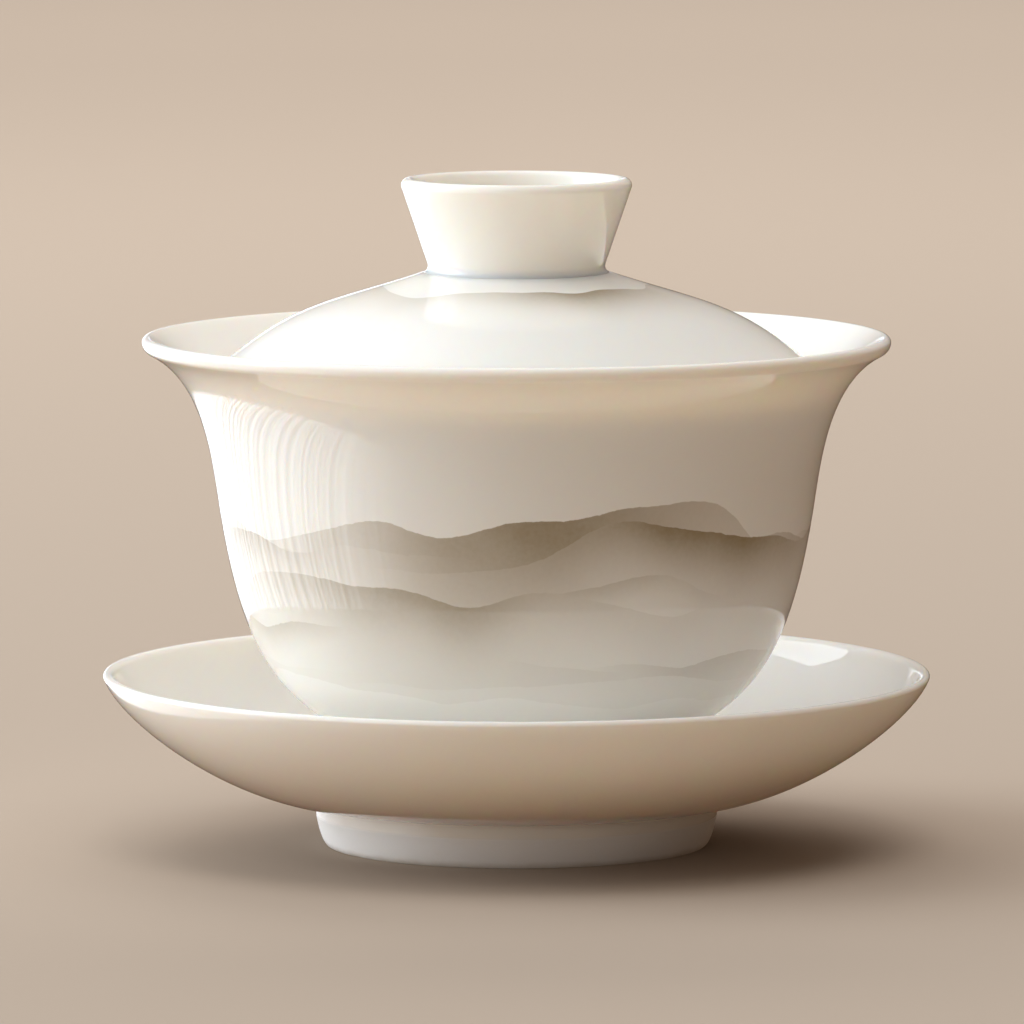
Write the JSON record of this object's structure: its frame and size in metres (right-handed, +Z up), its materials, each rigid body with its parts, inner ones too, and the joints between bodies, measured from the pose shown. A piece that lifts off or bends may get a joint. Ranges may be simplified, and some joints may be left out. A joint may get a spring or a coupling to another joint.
{
  "type": "gaiwan",
  "caption": "Lidded porcelain tea bowl on a saucer: flared bowl, domed lid with a hollow knob, and a shallow dish on a foot ring.",
  "frame": {"origin": "centre of the saucer's standing edge, on the surface it stands on", "axes": "+Z up along the axis that every piece is turned about; +X to the right and -Y towards the viewer, though every piece is round"},
  "size_m": [0.1106, 0.1106, 0.0894],
  "materials": {
    "white_glaze": "glossy warm white porcelain glaze",
    "painted_glaze": "glossy warm white glaze over a soft grey ink wash",
    "biscuit": "satin white unglazed porcelain at the standing edge, glazed above it"
  },
  "bodies": {
    "saucer": {"saucer_dish": "white_glaze", "saucer_foot_ring": "biscuit"},
    "bowl": {"bowl_wall": "painted_glaze", "bowl_foot_ring": "biscuit"},
    "lid": {"lid_dome": "painted_glaze", "lid_knob": "white_glaze"}
  },
  "joints": [
    {"name": "bowl_lift", "type": "slide", "parent": "saucer", "child": "bowl", "axis": [0, 0, 1], "range_m": [0, 0.06]},
    {"name": "lid_lift", "type": "slide", "parent": "bowl", "child": "lid", "axis": [0, 0, 1], "range_m": [0, 0.06]}
  ]
}
